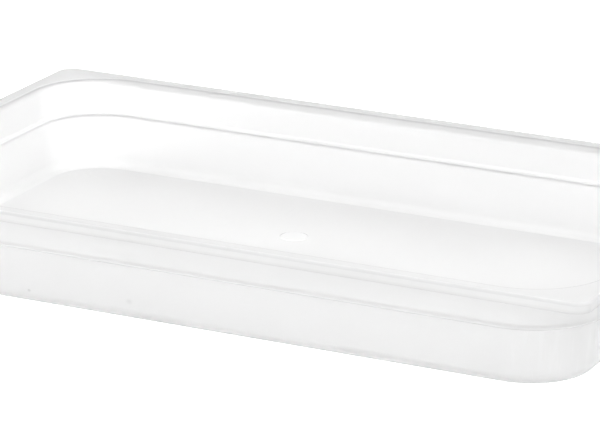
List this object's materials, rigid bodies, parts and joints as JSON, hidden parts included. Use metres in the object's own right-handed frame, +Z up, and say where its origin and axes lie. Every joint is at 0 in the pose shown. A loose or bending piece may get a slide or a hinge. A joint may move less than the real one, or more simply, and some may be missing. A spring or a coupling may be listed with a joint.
{
  "type": "gastronorm container",
  "caption": "Shallow full-size gastronorm container in half-clear plastic, with a flat flanged rim, a stacking shoulder and large rounded corners. Empty and open at the top.",
  "frame": {"origin": "middle of the flat underside, on the surface the container stands on", "axes": "+X along the long side, +Y across the short side, +Z up through the open top"},
  "size_m": [0.53, 0.325, 0.065],
  "materials": {
    "polypropylene": "natural milky polypropylene, half clear, with a soft moulded gloss"
  },
  "bodies": {
    "root": {"container": "polypropylene"}
  },
  "joints": []
}
